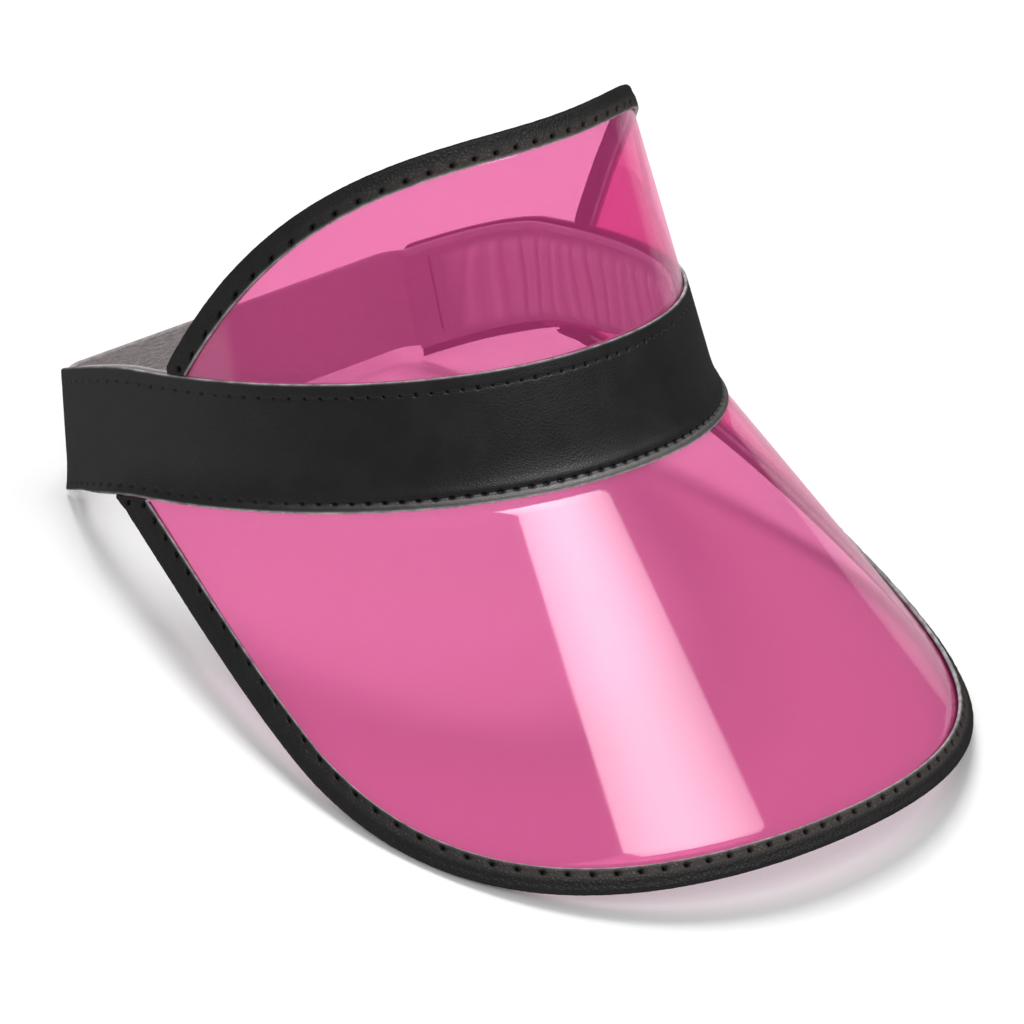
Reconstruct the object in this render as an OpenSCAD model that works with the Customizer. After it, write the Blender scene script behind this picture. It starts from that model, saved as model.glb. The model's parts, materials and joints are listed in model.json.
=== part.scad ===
// Clear-sheet sun visor: two cone-shaped sheets that meet in a covered headband, with bound edges and an
// elastic strap. Everything is worked out in the band's own frame, where +Z is the wearer's up, -Y is the
// wearer's front and the origin is the middle of the band seam. place() then sets the visor down as it
// rests on a table: on the two corners of the brim and the lower corners of the headband's ends.

/* [Headband] */
// Half of the headband's outer width, at the temples
band_half_w = 80; // [72:1:88]
// Distance from the widest point of the headband to its front
band_front = 84; // [76:1:92]
// Squareness of the headband's front: 2 is an ellipse, more is squarer
band_squareness = 2.1; // [2:0.1:2.6]
// Height of the headband above the seam between the two sheets
band_above = 26; // [20:1:32]
// How far the headband's cover laps onto the brim
band_below = 5; // [3:0.5:7]
// Length of each band arm behind the temple
arm_len = 36; // [28:1:44]
// How far each arm's end is pulled in towards the other
arm_pull_in = 15; // [6:1:20]
// How far each arm's end droops below the seam
arm_droop = 9; // [0:1:12]

/* [Crown] */
// Height of the crown sheet at the front, along the sheet
crown_rise = 79; // [60:1:95]
// Angle from the front at which the crown's edge would reach the seam
crown_spread = 94; // [88:1:98]
// Height of the point that all straight lines of the crown sheet run to
crown_apex_z = 676; // [500:10:900]
// Distance of that point behind the band's centre
crown_apex_y = 107; // [60:1:140]

/* [Brim] */
// Half of the brim's greatest width
brim_half_w = 102; // [96:1:110]
// How far in front of the band's centre the brim is widest
brim_wide_y = 68; // [60:1:74]
// Distance from there to the brim's front edge
brim_front = 77; // [68:1:84]
// Squareness of the brim's front: 2 is an ellipse, more is squarer
brim_squareness = 2.1; // [2:0.1:2.6]
// How far behind the band's centre the brim's edge meets the band
brim_root_y = 11; // [10:1:14]
// Height of the point that all straight lines of the brim sheet run from
brim_apex_z = 114; // [100:1:130]

/* [Layers] */
// Thickness of the clear sheets
sheet_t = 0.4; // [0.3:0.05:0.6]
// Thickness of the vinyl that covers the headband
cover_t = 0.9; // [0.6:0.1:1.2]
// Thickness of the foam inside the headband
foam_t = 2; // [1:0.5:2.5]
// Thickness of the cloth sweatband
cloth_t = 1; // [0.8:0.1:1.5]
// Width of the binding folded over each free edge
binding_w = 4.8; // [4:0.1:6]
// Thickness of the binding's vinyl
binding_t = 1.2; // [0.6:0.1:1.4]
// Thickness of the elastic strap
strap_t = 1.6; // [1:0.1:2]

/* [Stitches] */
// Thickness of the thread
thread_d = 0.6; // [0.4:0.1:0.8]
// Stitch pitch along the headband
band_pitch = 3.6; // [3:0.1:5]
// Stitch pitch along the bindings
binding_pitch = 5.9; // [5:0.1:8]
// Share of each stitch's pitch that its thread spans
stitch_share = 0.6; // [0.4:0.05:0.75]

/* [Hidden] */

gap = 0.1;                  // clearance between neighbouring layers
step = 4;                   // angle between neighbouring sections of a shell
droop_power = 1.5;          // how the arms' droop grows towards their ends
crown_power = 3;            // how the crown's edge falls away from the front
taper_power = 1.6;          // how the brim narrows from its widest line to its root
brim_end = 96;              // angle at which the brim sheet ends under the headband
binding_end = 92;           // angle at which the brim binding reaches the headband
seam_allowance = 0.6;       // where each sheet starts, measured from the seam
stitch_inset = 3.4;         // distance of the headband's upper stitches from its top edge
flange_row = 2.4;           // distance of the headband's lower stitches from its bottom edge
edge_row = 1.6;             // distance of the binding's stitches from its inner edge
band_row_margin = 3;        // angle between the last stitches along the headband and its ends
brim_row_end = 82;          // angle of the last stitch along the brim
crown_row_end = 76;         // angle of the last stitch along the crown
crown_sheet_foot = 13;      // height above the seam at which the crown sheet's ends lie under the headband
crown_binding_foot = 1;     // height above the headband at which the crown's binding ends
strap_gap = 0.3;            // clearance between the band's ends and the strap
strap_margin = 0.5;         // distance of the strap's edges from the seam and from the headband's top edge
strap_row = 5;              // distance of the strap's stitches from the band's ends
strap_row_count = 7;        // stitches in each of those rows
shades = [[0.93, 0.33, 0.6, 0.6], [0.17, 0.17, 0.18], [0.25, 0.24, 0.25], [0.55, 0.52, 0.52]];
SHEET = shades[0];
VINYL = shades[1];
CLOTH = shades[2];
ELASTIC = shades[3];

mm_per_degree = band_half_w * PI / 180;
arm_end = 90 + arm_len / mm_per_degree;
crown_apex = [0, crown_apex_y, crown_apex_z];
brim_apex = [0, 0, brim_apex_z];
cover_out = sheet_t + gap + cover_t;
foam_in = gap + foam_t;
cloth_in = foam_in + gap + cloth_t;

// ---- the seam between the two sheets, for an angle t from the front (positive t is the wearer's left)

function unit(v) = v / norm(v);
function superellipse_r(t, half_w, front, n) =
    pow(pow(abs(sin(t)) / half_w, n) + pow(abs(cos(t)) / front, n), -1 / n);
function front_seam(t) =
    let (r = superellipse_r(t, band_half_w, band_front, band_squareness)) [r * sin(t), -r * cos(t), 0];
function arm_seam(t) =
    let (along = (abs(t) - 90) / (arm_end - 90))
    [sign(t) * (band_half_w - arm_pull_in * pow(along, 2)), arm_len * along, -arm_droop * pow(along, droop_power)];
function seam(t) = abs(t) <= 90 ? front_seam(t) : arm_seam(t);
function seam_tangent(t) = unit(seam(t + 0.1) - seam(t - 0.1));

// ---- the two cone-shaped surfaces: a point at a distance from the seam and an offset off the surface

function crown_dir(t) = unit(crown_apex - seam(t));
function brim_dir(t) = unit(seam(t) - brim_apex);
function crown_normal(t) = unit(cross(seam_tangent(t), crown_dir(t)));
function brim_normal(t) = unit(cross(brim_dir(t), seam_tangent(t)));
function on_crown(t, up, off = 0) = seam(t) + up * crown_dir(t) + off * crown_normal(t);
function on_brim(t, out, off = 0) = seam(t) + out * brim_dir(t) + off * brim_normal(t);

// ---- the free edges, as distances from the seam

function crown_edge(t) = crown_rise * (1 - pow(abs(t) / crown_spread, crown_power));

// The angle at which the crown's edge has come down to a height above the seam
function crown_angle(height) = crown_spread * pow(1 - height / crown_rise, 1 / crown_power);

// Positive where a point in plan lies outside the brim's outline
function outside_brim(x, y) =
    let (ahead = -y - brim_wide_y)
    ahead > 0
        ? pow(abs(x) / brim_half_w, brim_squareness) + pow(ahead / brim_front, brim_squareness) - 1
        : abs(x) - brim_half_w
            + (brim_half_w - band_half_w) * pow(-ahead / (brim_wide_y + brim_root_y), taper_power);

// Halves the interval [low, high] until it holds the outline, as a multiple of the seam's distance
function outline_scale(p, low = 1, high = 3, turns = 24) =
    let (middle = (low + high) / 2)
    turns == 0 ? middle
        : outside_brim(middle * p.x, middle * p.y) > 0 ? outline_scale(p, low, middle, turns - 1)
        : outline_scale(p, middle, high, turns - 1);
function brim_edge(t) = (outline_scale(seam(t)) - 1) * norm(seam(t) - brim_apex);

// ---- the bindings' inner edges: a binding's width in from the rim, square to it, but clear of the headband

function flap_end(rim, rim_tangent, dir, headband_edge) =
    min(max(rim - binding_w / norm(cross(rim_tangent, dir)), headband_edge + gap), rim);
function tangent(curve, t) = unit(curve(t + 0.1) - curve(t - 0.1));
function brim_flap_end(t) =
    flap_end(brim_edge(t), tangent(function (a) on_brim(a, brim_edge(a)), t), brim_dir(t), band_below);
function crown_flap_end(t) =
    flap_end(crown_edge(t), tangent(function (a) on_crown(a, crown_edge(a)), t), crown_dir(t), band_above);

// The angles of a shell's sections. Shells share the multiples of step, so that neighbours' facets are parallel
function angles(end) =
    let (inside = ceil(end / step) - 1)
    concat([-end], [for (i = [-inside:inside]) i * step], [end]);

// ---- the strap's edges at the wearer's left, and the place behind the band's ends

strap_low = on_crown(arm_end, strap_margin);
strap_high = on_crown(arm_end, band_above - strap_margin);
function behind_band(p, depth) = p + [0, cover_out + strap_gap + depth, 0];

// ---- resting on a table: the tilt that brings the brim's corners level with the headband's lower corners

function tilted(p) = [
    p.x,
    p.y * cos(rest_tilt) + p.z * sin(rest_tilt),
    p.z * cos(rest_tilt) - p.y * sin(rest_tilt)
];
band_foot = on_brim(arm_end, band_below, sheet_t + gap);
rim_out = gap + binding_t;
brim_rim = [for (t = angles(binding_end)) on_brim(t, brim_edge(t) + rim_out, -rim_out)];
brim_front_rim = [for (t = angles(step * 2)) on_brim(t, brim_edge(t) + rim_out, sheet_t + rim_out)];
rest_tilt = max([for (p = brim_rim) atan2(band_foot.z - p.z, band_foot.y - p.y)]);
back_y = tilted(behind_band(strap_high, strap_t)).y;
front_y = min([for (p = concat(brim_rim, brim_front_rim)) tilted(p).y]);
floor_z = tilted(band_foot).z;

module place() {
    translate([0, -(front_y + back_y) / 2, -floor_z]) rotate([-rest_tilt, 0, 0]) children();
}

// ---- shapes

function quad(a, b, c, d) = [[a, b, c], [a, c, d]];

// A closed shell through sections; each section is [points of the outer path, points of the inner path]
module ribbon(sections) {
    m = len(sections[0][0]);
    last = len(sections) - 1;
    function at(i, side, j) = (2 * i + side) * m + j;
    polyhedron(
        points = [for (s = sections) each concat(s[0], s[1])],
        faces = concat(
            [for (i = [0:last - 1], j = [0:m - 2])
                each quad(at(i, 0, j), at(i, 0, j + 1), at(i + 1, 0, j + 1), at(i + 1, 0, j))],
            [for (i = [0:last - 1], j = [0:m - 2])
                each quad(at(i, 1, j), at(i + 1, 1, j), at(i + 1, 1, j + 1), at(i, 1, j + 1))],
            [for (i = [0:last - 1])
                each quad(at(i, 0, 0), at(i + 1, 0, 0), at(i + 1, 1, 0), at(i, 1, 0))],
            [for (i = [0:last - 1])
                each quad(at(i, 0, m - 1), at(i, 1, m - 1), at(i + 1, 1, m - 1), at(i + 1, 0, m - 1))],
            [for (j = [0:m - 2])
                each quad(at(0, 0, j), at(0, 1, j), at(0, 1, j + 1), at(0, 0, j + 1))],
            [for (j = [0:m - 2])
                each quad(at(last, 0, j), at(last, 0, j + 1), at(last, 1, j + 1), at(last, 1, j))]
        )
    );
}

// One stitch: a short round thread centred on p and running along dir
module stitch(p, dir, length) {
    translate(p) rotate([0, acos(dir.z), atan2(dir.y, dir.x)])
        cylinder(d = thread_d, h = length, center = true, $fn = 16);
}

// A row of stitches from angle -end to end, on curve(t) and along its tangent
module stitch_row(curve, end, pitch) {
    chords = [for (t = [1 - end:end]) norm(curve(t) - curve(t - 1))];
    count = round(chords * [for (chord = chords) 1] / pitch);
    for (i = [0:count]) {
        t = end * (2 * i / count - 1);
        stitch(curve(t), tangent(curve, t), pitch * stitch_share);
    }
}

// ---- sub-parts

module brim_panel() {
    color(SHEET) place() ribbon([for (t = angles(brim_end)) [
        [on_brim(t, brim_edge(t), sheet_t), on_brim(t, seam_allowance, sheet_t)],
        [on_brim(t, brim_edge(t)), on_brim(t, seam_allowance)]
    ]]);
}

module crown_panel() {
    color(SHEET) place() ribbon([for (t = angles(crown_angle(crown_sheet_foot))) [
        [on_crown(t, seam_allowance, sheet_t), on_crown(t, crown_edge(t), sheet_t)],
        [on_crown(t, seam_allowance), on_crown(t, crown_edge(t))]
    ]]);
}

module headband_cover() {
    function side(t, off) = [
        on_brim(t, band_below, off), on_brim(t, off, off), on_crown(t, off, off), on_crown(t, band_above, off)
    ];
    color(VINYL) place() ribbon([for (t = angles(arm_end)) [side(t, cover_out), side(t, sheet_t + gap)]]);
}

// A layer inside the headband between two distances above the seam and two depths
module lining(shade, low, high, depth, thickness, end) {
    color(shade) place() ribbon([for (t = angles(end)) [
        [on_crown(t, low, thickness - depth), on_crown(t, high, thickness - depth)],
        [on_crown(t, low, -depth), on_crown(t, high, -depth)]
    ]]);
}

module headband_foam() {
    foam_margin = 2;
    lining(VINYL, foam_margin, band_above - foam_margin, foam_in, foam_t, arm_end - foam_margin);
}

module sweatband() {
    lining(CLOTH, 0, band_above, cloth_in, cloth_t, arm_end);
}

// A U-shaped fold over a sheet's edge at rim, as [distance, offset] pairs
function fold(rim, inner, thickness) = [
    [inner, sheet_t + gap + thickness],
    [rim + gap + thickness, sheet_t + gap + thickness],
    [rim + gap + thickness, -gap - thickness],
    [inner, -gap - thickness]
];

module brim_binding() {
    function side(t, thickness) = [
        for (f = fold(brim_edge(t), brim_flap_end(t), thickness)) on_brim(t, f[0], f[1])
    ];
    color(VINYL) place() ribbon([for (t = angles(binding_end)) [side(t, 0), side(t, binding_t)]]);
}

module crown_binding() {
    end = crown_angle(band_above + crown_binding_foot);
    function side(t, thickness) = [
        for (f = fold(crown_edge(t), crown_flap_end(t), thickness)) on_crown(t, f[0], f[1])
    ];
    color(VINYL) place() ribbon([for (t = angles(end)) [side(t, binding_t), side(t, 0)]]);
}

module elastic_strap() {
    function edge(side, p, depth) = let (q = behind_band(p, depth)) [side * q.x, q.y, q.z];
    color(ELASTIC) place() ribbon([for (side = [-1, 1]) [
        [edge(side, strap_low, 0), edge(side, strap_high, 0)],
        [edge(side, strap_low, strap_t), edge(side, strap_high, strap_t)]
    ]]);
}

module band_top_stitches() {
    color(VINYL) place() stitch_row(
        function (t) on_crown(t, band_above - stitch_inset, cover_out + thread_d),
        arm_end - band_row_margin, band_pitch);
}

module band_bottom_stitches() {
    color(VINYL) place() stitch_row(
        function (t) on_brim(t, band_below - flange_row, cover_out + thread_d),
        arm_end - band_row_margin, band_pitch);
}

module brim_binding_stitches() {
    color(VINYL) place() stitch_row(
        function (t) on_brim(t, brim_flap_end(t) + edge_row, sheet_t + gap + binding_t + thread_d),
        brim_row_end, binding_pitch);
}

module crown_binding_stitches() {
    color(VINYL) place() stitch_row(
        function (t) on_crown(t, crown_flap_end(t) + edge_row, sheet_t + gap + binding_t + thread_d),
        crown_row_end, binding_pitch);
}

// The upright row that holds one end of the strap, on the cloth side; side is 1 on the wearer's left
module strap_row_stitches(side) {
    t = side * (arm_end - strap_row / mm_per_degree);
    pitch = (band_above - 2 * stitch_inset) / (strap_row_count - 1);
    color(VINYL) place() for (i = [0:strap_row_count - 1])
        stitch(on_crown(t, stitch_inset + i * pitch, -cloth_in - thread_d), crown_dir(t), pitch * stitch_share);
}

module strap_stitches_right() {
    strap_row_stitches(-1);
}

module strap_stitches_left() {
    strap_row_stitches(1);
}

brim_panel();
crown_panel();
headband_cover();
headband_foam();
sweatband();
brim_binding();
crown_binding();
elastic_strap();
band_top_stitches();
band_bottom_stitches();
brim_binding_stitches();
crown_binding_stitches();
strap_stitches_right();
strap_stitches_left();
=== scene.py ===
"""The looks of the sun visor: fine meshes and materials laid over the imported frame.

Shapes are worked out in millimetres in the band's own frame, as in the CAD source: +Z is the wearer's up,
-Y is the wearer's front and the origin is the middle of the band seam. An angle t runs along the seam from
the front, in degrees, positive towards the wearer's left. to_row() puts such points into the shared frame,
in metres.
"""

import json
import math

import bpy
import numpy as np
from mathutils import Matrix, Vector, noise


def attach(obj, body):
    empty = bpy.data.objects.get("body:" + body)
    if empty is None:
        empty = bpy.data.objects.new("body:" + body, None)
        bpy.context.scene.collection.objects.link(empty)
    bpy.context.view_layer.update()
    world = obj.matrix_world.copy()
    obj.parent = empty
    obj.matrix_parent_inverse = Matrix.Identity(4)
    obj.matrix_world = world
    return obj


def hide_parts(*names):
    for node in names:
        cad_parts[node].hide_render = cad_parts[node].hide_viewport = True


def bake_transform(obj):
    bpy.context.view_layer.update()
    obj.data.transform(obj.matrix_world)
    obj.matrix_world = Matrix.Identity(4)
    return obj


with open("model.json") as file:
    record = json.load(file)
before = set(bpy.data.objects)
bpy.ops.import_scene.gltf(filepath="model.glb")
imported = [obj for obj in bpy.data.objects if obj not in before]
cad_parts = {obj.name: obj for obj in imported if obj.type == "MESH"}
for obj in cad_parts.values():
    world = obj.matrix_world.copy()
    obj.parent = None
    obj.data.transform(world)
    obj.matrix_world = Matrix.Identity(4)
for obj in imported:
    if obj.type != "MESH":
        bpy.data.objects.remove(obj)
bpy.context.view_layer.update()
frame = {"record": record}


# ---- driving dimensions, the same as the CAD's, in mm and degrees

BAND_HALF_W = 80           # half of the headband's outer width
BAND_FRONT = 84            # from its widest point to its front
BAND_SQUARENESS = 2.1      # 2 is an ellipse, more is squarer
BAND_ABOVE = 26            # height of the headband above the seam of the two sheets
BAND_BELOW = 5             # how far its cover laps onto the brim
ARM_LEN = 36               # length of each arm behind the temple
ARM_PULL_IN = 15           # how far each arm's end is pulled in
ARM_DROOP = 9              # how far it droops
DROOP_POWER = 1.5
MM_PER_DEGREE = BAND_HALF_W * math.pi / 180
ARM_END = 90 + ARM_LEN / MM_PER_DEGREE

CROWN_RISE = 79            # height of the crown at the front, along the sheet
CROWN_SPREAD = 94          # angle at which its edge would reach the seam
CROWN_POWER = 3            # how its edge falls away from the front
CROWN_APEX = np.array([0, 107, 676])     # all straight lines of the crown run to this point

BRIM_HALF_W = 102          # half of the brim's greatest width
BRIM_WIDE_Y = 68           # how far in front of the band's centre it is widest
BRIM_FRONT = 77            # from there to its front edge
BRIM_SQUARENESS = 2.1      # 2 is an ellipse, more is squarer
BRIM_ROOT_Y = 11           # how far behind the band's centre its edge meets the band
BRIM_TAPER_POWER = 1.6     # how it narrows from its widest line to its root
BRIM_APEX = np.array([0, 0, 114])        # all straight lines of the brim run from this point
BRIM_END = 96              # angle at which the sheet ends under the headband

GAP = 0.1                  # clearance between layers
SHEET_T = 0.4
COVER_T = 0.9
FOAM_T = 2
CLOTH_T = 1
BINDING_T = 1.2
BINDING_W = 4.8
STRAP_T = 1.6
STRAP_GAP = 0.3            # clearance between the arms' ends and the strap
STRAP_MARGIN = 0.5         # distance of the strap's edges from the seam and from the headband's top edge
STRAP_ROW = 5              # distance of the strap's stitches from the band's ends
SEAM_ALLOWANCE = 0.6       # where each sheet starts, measured from the seam
COVER_OUT = SHEET_T + GAP + COVER_T
FOAM_IN = GAP + FOAM_T
CLOTH_IN = FOAM_IN + GAP + CLOTH_T
BINDING_AWAY = (SHEET_T + 2 * GAP + BINDING_T) / 2    # from the middle of a sheet to that of a flap


# ---- sizes of the visible detail, in mm and degrees

FLARE = 6                  # how far from the seam the cover starts to bend from the crown to the brim
ARM_ROUND = 12             # angle behind the brim over which the cover's lower part changes its run
ARM_STRAIGHT = 0.6         # how straight down it then runs, from 0 to 1
ARM_SHORTER = 0.3          # share of its length that it then loses
THREAD_R = 0.22            # radius of the sewing thread
BAND_PITCH = 3.6           # stitches of the headband
BINDING_PITCH = 5.9        # stitches of the bindings
TOP_ROW = 3.4              # distance of the headband's upper stitches from its top edge
BOTTOM_ROW = 2.4           # distance of its lower stitches from its bottom edge
EDGE_ROW = 1.6             # distance of a binding's stitches from its inner edge
STITCH_END = ARM_END - 3   # angle of the headband's last stitch
FRONT_EDGE = 80            # angle at which the headband's front ends
FRONT_FADE = 45            # angle over which its detail fades before that
CREASE_DEPTH = 0.3         # how deep the lower stitches pull the cover in
GROOVE_DEPTH = 0.12        # how deep the upper stitches do
PUCKER_DEPTH = 0.16        # how deep a stitch pulls a binding in
PIT_DEPTH = 0.7            # depth of a needle hole
ROLL = 2                   # width of the rounded shoulder of a binding's rim
ROLL_DROP = 0.45           # how far that shoulder falls
RIM_SQUARENESS = 0.7       # below 1 the rim of a binding is squarer than a half round
TOP_LINE = BAND_ABOVE - TOP_ROW           # the headband's upper stitches, measured from the seam
BOTTOM_LINE = BOTTOM_ROW - BAND_BELOW     # its lower stitches
BINDING_THREAD_SUNK = 0.6  # how deep a binding's thread lies in the vinyl
SHEET_STEP = 0.25          # angle between the points of a sheet
END_CORNER = 2             # radius of the top corners of the cover's ends
END_HOLLOW = 0.4           # how far those ends are hollowed
HEM_W = 2.2                # width of the folded strip along the sweatband's top
HEM_RELIEF = 0.3           # depth of the lines beside its hems
PLEAT_DEPTH = 0.7
PUFF_DEPTH = 0.9           # how far the sweatband's padding swells
TUCK = 8                   # length of strap sewn between the cover and the sweatband
BINDING_FOOT = 0.6         # height above the headband at which the crown's binding ends
BRIM_BINDING_END = 94      # angle at which the brim's binding ends
STRAP_RIBS = 26            # ribs across the strap
HOLE_SHARE = 0.35          # depth of the headband's needle holes on its arms, as a share of that in front

MM = 0.001


# ---- the band's frame, from the mount in the middle of the head opening

head = next(m for m in frame["record"]["mounts"] if m["name"] == "head_opening")
band_up = -Vector(head["axis"]).normalized()
band_left = Vector((1, 0, 0))
BAND_AXES = np.array([band_left, band_up.cross(band_left), band_up])
BAND_ORIGIN = np.array(head["pos_m"][:]) - BAND_AXES[2] * BAND_ABOVE / 2 * MM


def to_row(points):
    """Points of the band's frame, in mm, as points of the shared frame, in metres."""
    return BAND_ORIGIN + MM * np.asarray(points) @ BAND_AXES


# ---- the seam and the two cone-shaped surfaces, as in the CAD source


def unit(v):
    return v / np.linalg.norm(v, axis=-1, keepdims=True)


def seam(t):
    t = np.asarray(t, float)
    sine, cosine = np.sin(np.radians(t)), np.cos(np.radians(t))
    wide = (np.abs(sine) / BAND_HALF_W) ** BAND_SQUARENESS
    deep = (np.abs(cosine) / BAND_FRONT) ** BAND_SQUARENESS
    radius = (wide + deep) ** (-1 / BAND_SQUARENESS)
    front = np.stack([radius * sine, -radius * cosine, 0 * t], -1)
    along = np.clip((np.abs(t) - 90) / (ARM_END - 90), 0, None)
    out = np.sign(t) * (BAND_HALF_W - ARM_PULL_IN * along**2)
    arm = np.stack([out, ARM_LEN * along, -ARM_DROOP * along**DROOP_POWER], -1)
    return np.where(np.abs(t)[..., None] <= 90, front, arm)


def seam_tangent(t):
    return unit(seam(t + 0.1) - seam(t - 0.1))


def crown_frame(t):
    """Where the crown's straight line at angle t starts, the way it runs and its outward normal."""
    root = seam(t)
    direction = unit(CROWN_APEX - root)
    return root, direction, unit(np.cross(seam_tangent(t), direction))


def brim_frame(t):
    """The same for the brim's straight line at angle t."""
    root = seam(t)
    direction = unit(root - BRIM_APEX)
    return root, direction, unit(np.cross(direction, seam_tangent(t)))


def on_surface(surface, t, reach, lift=0.0):
    """Points at distances reach from the seam and lift off a surface. The three arrays broadcast."""
    t, reach, lift = np.broadcast_arrays(np.asarray(t, float), reach, lift)
    root, direction, normal = surface(t)
    return root + reach[..., None] * direction + lift[..., None] * normal


def crown_edge(t):
    return CROWN_RISE * (1 - (np.abs(t) / CROWN_SPREAD) ** CROWN_POWER)


def crown_angle(height):
    """Angle at which the crown's edge is at a height above the seam."""
    return CROWN_SPREAD * (1 - height / CROWN_RISE) ** (1 / CROWN_POWER)


def outside_brim(x, y):
    """Positive where a point in plan lies outside the brim's outline."""
    ahead = -y - BRIM_WIDE_Y
    front = (np.abs(x) / BRIM_HALF_W) ** BRIM_SQUARENESS
    front = front + (np.clip(ahead, 0, None) / BRIM_FRONT) ** BRIM_SQUARENESS - 1
    back = np.clip(-ahead, 0, None) / (BRIM_WIDE_Y + BRIM_ROOT_Y)
    side = np.abs(x) - BRIM_HALF_W + (BRIM_HALF_W - BAND_HALF_W) * back**BRIM_TAPER_POWER
    return np.where(ahead > 0, front, side)


def brim_edge(t):
    """Length of the brim's straight line at angle t, by halving the interval that holds the outline."""
    root = seam(t)
    low = np.ones(root.shape[:-1])
    high = 3 * low
    for _ in range(24):
        middle = (low + high) / 2
        outside = outside_brim(middle * root[..., 0], middle * root[..., 1]) > 0
        low = np.where(outside, low, middle)
        high = np.where(outside, middle, high)
    return (low - 1) * np.linalg.norm(root - BRIM_APEX, axis=-1)


# each free edge: its surface, its outline, the headband's edge there and the angle where its binding ends
BRIM_RIM = (brim_frame, brim_edge, BAND_BELOW, BRIM_BINDING_END)
CROWN_RIM = (crown_frame, crown_edge, BAND_ABOVE, crown_angle(BAND_ABOVE + BINDING_FOOT))


# ---- mesh building


def add_mesh(name, points, faces, attributes):
    """A smooth mesh object from points in the band's frame, with its per-point float attributes."""
    mesh = bpy.data.meshes.new(name)
    mesh.from_pydata(to_row(points).tolist(), [], faces)
    for key, values in attributes.items():
        layer = mesh.attributes.new(key, "FLOAT", "POINT")
        layer.data.foreach_set("value", np.asarray(values, np.float32).ravel())
    mesh.polygons.foreach_set("use_smooth", [True] * len(faces))
    piece = bpy.data.objects.new(name, mesh)
    bpy.context.scene.collection.objects.link(piece)
    return piece


def surface_normals(grid):
    """Unit normals of a grid of points; the first axis runs along the piece and the second across it."""
    return unit(np.cross(np.gradient(grid, axis=0), np.gradient(grid, axis=1)))


def shell(name, middle, half, out_lift=0.0, in_lift=0.0, **attributes):
    """A closed shell around a grid of points. half is half its thickness. out_lift and in_lift move its
    outer and inner face outwards. Attributes are grids for the outer face, or pairs of grids for both."""
    rows, columns = middle.shape[:2]
    normal = surface_normals(middle)
    outer = middle + normal * np.broadcast_to(half + out_lift, (rows, columns))[..., None]
    inner = middle - normal * np.broadcast_to(half - in_lift, (rows, columns))[..., None]
    points = np.concatenate([outer.reshape(-1, 3), inner.reshape(-1, 3)])
    out = np.arange(rows * columns).reshape(rows, columns)
    into = out + rows * columns

    def quads(a, b, c, d):
        return np.stack([a.ravel(), b.ravel(), c.ravel(), d.ravel()], -1)

    faces = np.concatenate([
        quads(out[:-1, :-1], out[1:, :-1], out[1:, 1:], out[:-1, 1:]),
        quads(into[:-1, :-1], into[:-1, 1:], into[1:, 1:], into[1:, :-1]),
        quads(out[:-1, 0], into[:-1, 0], into[1:, 0], out[1:, 0]),
        quads(out[1:, -1], into[1:, -1], into[:-1, -1], out[:-1, -1]),
        quads(out[0, :-1], out[0, 1:], into[0, 1:], into[0, :-1]),
        quads(out[-1, 1:], out[-1, :-1], into[-1, :-1], into[-1, 1:]),
    ])
    layers = {}
    for key, grid in attributes.items():
        pair = grid if isinstance(grid, tuple) else (grid, np.zeros((rows, columns)))
        layers[key] = np.concatenate([np.broadcast_to(g, (rows, columns)).ravel() for g in pair])
    return add_mesh(name, points, faces.tolist(), layers)


def rounded(distance, radius, least=0.06):
    """Share of full thickness at a distance from an edge that is rounded with a radius."""
    share = np.clip(distance / radius, 0, 1)
    return np.maximum(np.sqrt(1 - (1 - share) ** 2), least)


def smooth(x):
    """An even step from 0 to 1 while x goes from 0 to 1."""
    x = np.clip(x, 0, 1)
    return x * x * (3 - 2 * x)


def ridge(distance, width):
    """A bell: 1 at no distance, and 0 a few widths away."""
    return np.exp(-((distance / width) ** 2))


def spaced(first, last, coarse, fine, marks, reach=1.2):
    """Positions from first to last, coarse apart, and fine near the marks."""
    x = np.linspace(first, last, 2000)
    near = np.max([np.exp(-(((x - mark) / reach) ** 2)) for mark in marks], axis=0)
    count = np.concatenate([[0], np.cumsum(np.diff(x) / (coarse - (coarse - fine) * near)[1:])])
    return np.interp(np.linspace(0, count[-1], math.ceil(count[-1]) + 1), count, x)


def from_end(t):
    """Distance in mm along the band from its nearer end."""
    return (ARM_END - np.abs(t)) * MM_PER_DEGREE


def multiples(end, step):
    """Angles from -end to end at the multiples of step, and the two ends."""
    inside = math.ceil(end / step) - 1
    return np.concatenate([[-end], np.arange(-inside, inside + 1) * step, [end]])


def even_angles(surface, reach, end, spacing):
    """Angles from -end to end at an even spacing in mm along a curve, and that spacing. reach gives the
    curve's distance from the seam at an angle."""
    t = np.linspace(-end, end, 4001)
    steps = np.linalg.norm(np.diff(on_surface(surface, t, reach(t)), axis=0), axis=-1)
    length = np.concatenate([[0], np.cumsum(steps)])
    count = round(length[-1] / spacing)
    return np.interp(np.linspace(0, length[-1], count + 1), length, t), length[-1] / count


def pit(along, across, long_r, wide_r):
    """A flat-bottomed needle hole: 1 in its middle and 0 outside it."""
    return np.exp(-(((along / long_r) ** 2 + (across / wide_r) ** 2) ** 2))


def grain(points, size, seed):
    """Smooth noise between about -1 and 1, for points in mm, with features of a size."""
    flat = points.reshape(-1, 3) / size + seed
    return np.array([noise.noise(p) for p in flat]).reshape(points.shape[:-1])


# ---- sub-parts


def sheet(name, surface, t, low, high):
    """A clear sheet between two distances from the seam."""
    across = np.linspace(0, 1, 13)
    if surface is brim_frame:
        across = across[::-1]
    reach = low + (high - low)[:, None] * across
    middle = on_surface(surface, t[:, None], reach, SHEET_T / 2)
    return shell(name, middle, SHEET_T / 2, outside=np.ones(reach.shape))


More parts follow.
